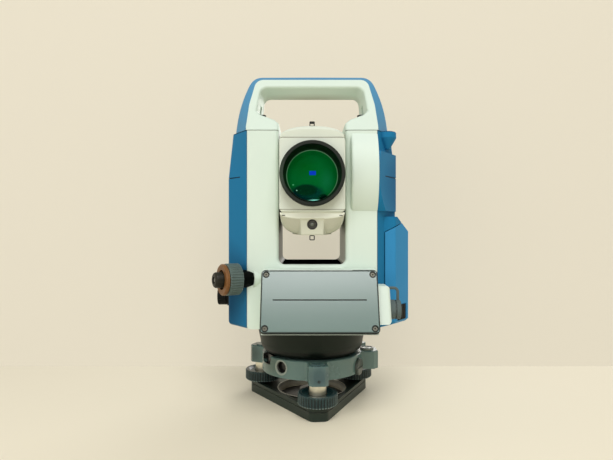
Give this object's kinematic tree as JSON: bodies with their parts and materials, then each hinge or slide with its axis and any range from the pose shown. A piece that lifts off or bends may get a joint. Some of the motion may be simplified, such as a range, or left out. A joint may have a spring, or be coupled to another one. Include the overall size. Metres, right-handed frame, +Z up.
{
  "type": "total station",
  "caption": "Surveying total station on a tribrach: telescope tilting in a yoke under a carrying handle, turning on a levelling base with foot screws.",
  "frame": {"origin": "mouth of the tripod thread, on the vertical axis, at the underside of the base plate", "axes": "+Z up along the vertical axis, +X to the right and +Y away for someone who looks into the objective; the telescope is level at rest"},
  "size_m": [0.204, 0.1758, 0.338],
  "materials": {
    "white_cover": "fine satin, cool white",
    "blue_cover": "fine satin, mid blue",
    "cream_paint": "painted, warm white",
    "grey_panel": "fine grain, grey",
    "black_plastic": "matt black",
    "black_metal": "black anodised",
    "knob_plastic": "dark grey, ribbed edge",
    "dark_rubber": "matt",
    "soft_keys": "light grey",
    "orange_ring": "satin",
    "grey_casting": "painted, dark grey green",
    "dark_casting": "painted, dark olive",
    "light_alloy": "as cast",
    "bright_steel": "ground",
    "nickel": "nickel plated",
    "dark_screws": "blackened",
    "clear_glass": "clear",
    "objective_glass": "coated, green",
    "display_glass": "grey, unlit"
  },
  "bodies": {
    "base": {"tribrach_base_plate": "grey_casting", "base_spring_plate": "bright_steel"},
    "foot_front": {"foot_screw_front": "knob_plastic"},
    "foot_right": {"foot_screw_right": "knob_plastic"},
    "foot_left": {"foot_screw_left": "knob_plastic"},
    "head": {"tribrach_body": "grey_casting", "foot_screw_bushes": "nickel", "circular_level": "clear_glass", "lower_base": "dark_casting", "axis_sleeve": "bright_steel", "horizontal_circle": "clear_glass"},
    "clamp_knob": {"clamp_knob": "black_plastic"},
    "clamp_ring": {"clamp_ring": "bright_steel"},
    "alidade": {"vertical_spindle": "bright_steel", "yoke_frame": "light_alloy", "front_cover": "white_cover", "rear_cover": "white_cover", "left_cover": "blue_cover", "right_cover": "blue_cover", "saddle_plate": "black_metal", "battery_pack": "black_plastic", "blank_plate": "grey_panel", "panel_screws": "dark_screws", "keyboard_plate": "grey_panel", "display_window": "display_glass", "data_connector": "black_metal", "cap_tether": "dark_rubber", "plummet_tube": "black_metal", "handle_grip": "white_cover", "handle_band": "blue_cover", "handle_screws": "dark_screws", "trunnion_bearings": "bright_steel"},
    "telescope": {"trunnion_axles": "bright_steel", "vertical_circle": "clear_glass", "telescope_body": "cream_paint", "telescope_top_cap": "cream_paint", "telescope_bottom_cap": "cream_paint", "guide_light_lens": "objective_glass", "objective_ring": "black_metal", "objective_lens": "objective_glass", "peep_sights": "black_metal"},
    "focus_ring": {"focus_ring": "black_plastic"},
    "telescope_eyepiece": {"telescope_eyepiece": "black_plastic"},
    "vertical_clamp": {"vertical_clamp": "black_plastic"},
    "vertical_tangent_knob": {"vertical_tangent_knob": "black_plastic"},
    "horizontal_clamp": {"horizontal_clamp": "black_plastic"},
    "horizontal_tangent_knob": {"horizontal_tangent_knob": "black_plastic"},
    "plummet_focus": {"plummet_focus_ring": "black_plastic", "plummet_trim_ring": "orange_ring"},
    "plummet_eyepiece": {"plummet_eyepiece": "black_plastic"},
    "battery_door": {"battery_door": "blue_cover"},
    "battery_latch": {"battery_latch": "black_plastic"},
    "connector_cap": {"connector_cap": "dark_rubber"},
    "soft_key_1": {"soft_key_1": "soft_keys"},
    "soft_key_2": {"soft_key_2": "soft_keys"},
    "soft_key_3": {"soft_key_3": "soft_keys"},
    "soft_key_4": {"soft_key_4": "soft_keys"},
    "power_key": {"power_key": "soft_keys"},
    "cursor_pad": {"cursor_pad": "soft_keys"},
    "enter_key": {"enter_key": "soft_keys"}
  },
  "joints": [
    {"name": "head_lift", "type": "slide", "parent": "base", "child": "head", "axis": [0, 0, 1], "range_m": [-0.003, 0.004]},
    {"name": "foot_front_turn", "type": "hinge", "parent": "base", "child": "foot_front", "pos_m": [0.00523, -0.05977, 0.02], "axis": [0, 0, 1], "range_deg": [-1080, 1440]},
    {"name": "foot_right_turn", "type": "hinge", "parent": "base", "child": "foot_right", "pos_m": [0.04915, 0.03442, 0.02], "axis": [0, 0, 1], "range_deg": [-1080, 1440]},
    {"name": "foot_left_turn", "type": "hinge", "parent": "base", "child": "foot_left", "pos_m": [-0.05438, 0.02536, 0.02], "axis": [0, 0, 1], "range_deg": [-1080, 1440]},
    {"name": "clamp_ring_turn", "type": "hinge", "parent": "head", "child": "clamp_ring", "pos_m": [0, 0, 0.04], "axis": [0, 0, 1], "range_deg": [0, 4.5]},
    {"name": "tribrach_clamp", "type": "hinge", "parent": "head", "child": "clamp_knob", "pos_m": [0.04776, -0.02227, 0.039], "axis": [0.9063, -0.4226, 0], "range_deg": [0, 120]},
    {"name": "alidade_turn", "type": "hinge", "parent": "head", "child": "alidade", "pos_m": [0, 0, 0.08], "axis": [0, 0, 1], "continuous": true},
    {"name": "telescope_tilt", "type": "hinge", "parent": "alidade", "child": "telescope", "pos_m": [0, 0, 0.2325], "axis": [1, 0, 0], "continuous": true},
    {"name": "focus_turn", "type": "hinge", "parent": "telescope", "child": "focus_ring", "pos_m": [0, 0.05, 0.2325], "axis": [0, 1, 0], "range_deg": [-270, 270]},
    {"name": "eyepiece_turn", "type": "hinge", "parent": "telescope", "child": "telescope_eyepiece", "pos_m": [0, 0.072, 0.2325], "axis": [0, 1, 0], "range_deg": [-180, 180]},
    {"name": "vertical_clamp_turn", "type": "hinge", "parent": "alidade", "child": "vertical_clamp", "pos_m": [-0.04865, 0.05, 0.192], "axis": [0, 1, 0], "range_deg": [0, 60]},
    {"name": "vertical_tangent_turn", "type": "hinge", "parent": "alidade", "child": "vertical_tangent_knob", "pos_m": [-0.04865, 0.06, 0.192], "axis": [0, 1, 0], "continuous": true},
    {"name": "horizontal_clamp_turn", "type": "hinge", "parent": "alidade", "child": "horizontal_clamp", "pos_m": [-0.09, 0.018, 0.107], "axis": [1, 0, 0], "range_deg": [0, 60]},
    {"name": "horizontal_tangent_turn", "type": "hinge", "parent": "alidade", "child": "horizontal_tangent_knob", "pos_m": [-0.1, 0.018, 0.107], "axis": [1, 0, 0], "continuous": true},
    {"name": "plummet_focus_turn", "type": "hinge", "parent": "alidade", "child": "plummet_focus", "pos_m": [-0.0722, -0.0474, 0.1315], "axis": [-0.866, -0.5, 0], "range_deg": [-180, 180]},
    {"name": "plummet_eyepiece_turn", "type": "hinge", "parent": "alidade", "child": "plummet_eyepiece", "pos_m": [-0.0722, -0.0474, 0.1315], "axis": [-0.866, -0.5, 0], "range_deg": [-180, 180]},
    {"name": "battery_door_swing", "type": "hinge", "parent": "alidade", "child": "battery_door", "pos_m": [0.0764, 0.0384, 0.133], "axis": [0, 0, 1], "range_deg": [0, 100]},
    {"name": "battery_latch_slide", "type": "slide", "parent": "battery_door", "child": "battery_latch", "axis": [0.6114, 0.7913, 0], "range_m": [0, 0.004]},
    {"name": "connector_cap_pull", "type": "slide", "parent": "alidade", "child": "connector_cap", "axis": [1, 0, 0], "range_m": [0, 0.008], "deforming": ["cap_tether"]},
    {"name": "soft_key_1_press", "type": "slide", "parent": "alidade", "child": "soft_key_1", "axis": [0, -0.9336, -0.3584], "range_m": [0, 0.001], "stiffness_N_per_m": 800},
    {"name": "soft_key_2_press", "type": "slide", "parent": "alidade", "child": "soft_key_2", "axis": [0, -0.9336, -0.3584], "range_m": [0, 0.001], "stiffness_N_per_m": 800},
    {"name": "soft_key_3_press", "type": "slide", "parent": "alidade", "child": "soft_key_3", "axis": [0, -0.9336, -0.3584], "range_m": [0, 0.001], "stiffness_N_per_m": 800},
    {"name": "soft_key_4_press", "type": "slide", "parent": "alidade", "child": "soft_key_4", "axis": [0, -0.9336, -0.3584], "range_m": [0, 0.001], "stiffness_N_per_m": 800},
    {"name": "power_key_press", "type": "slide", "parent": "alidade", "child": "power_key", "axis": [0, -0.9336, -0.3584], "range_m": [0, 0.001], "stiffness_N_per_m": 800},
    {"name": "cursor_pad_press", "type": "slide", "parent": "alidade", "child": "cursor_pad", "axis": [0, -0.9336, -0.3584], "range_m": [0, 0.001], "stiffness_N_per_m": 800},
    {"name": "enter_key_press", "type": "slide", "parent": "alidade", "child": "enter_key", "axis": [0, -0.9336, -0.3584], "range_m": [0, 0.001], "stiffness_N_per_m": 800}
  ],
  "couplings": [
    {"joint": "foot_front_turn", "follows": "head_lift", "rad_per_m": 6283.2},
    {"joint": "foot_right_turn", "follows": "head_lift", "rad_per_m": 6283.2},
    {"joint": "foot_left_turn", "follows": "head_lift", "rad_per_m": 6283.2},
    {"joint": "tribrach_clamp", "follows": "clamp_ring_turn", "ratio": 26.6}
  ]
}
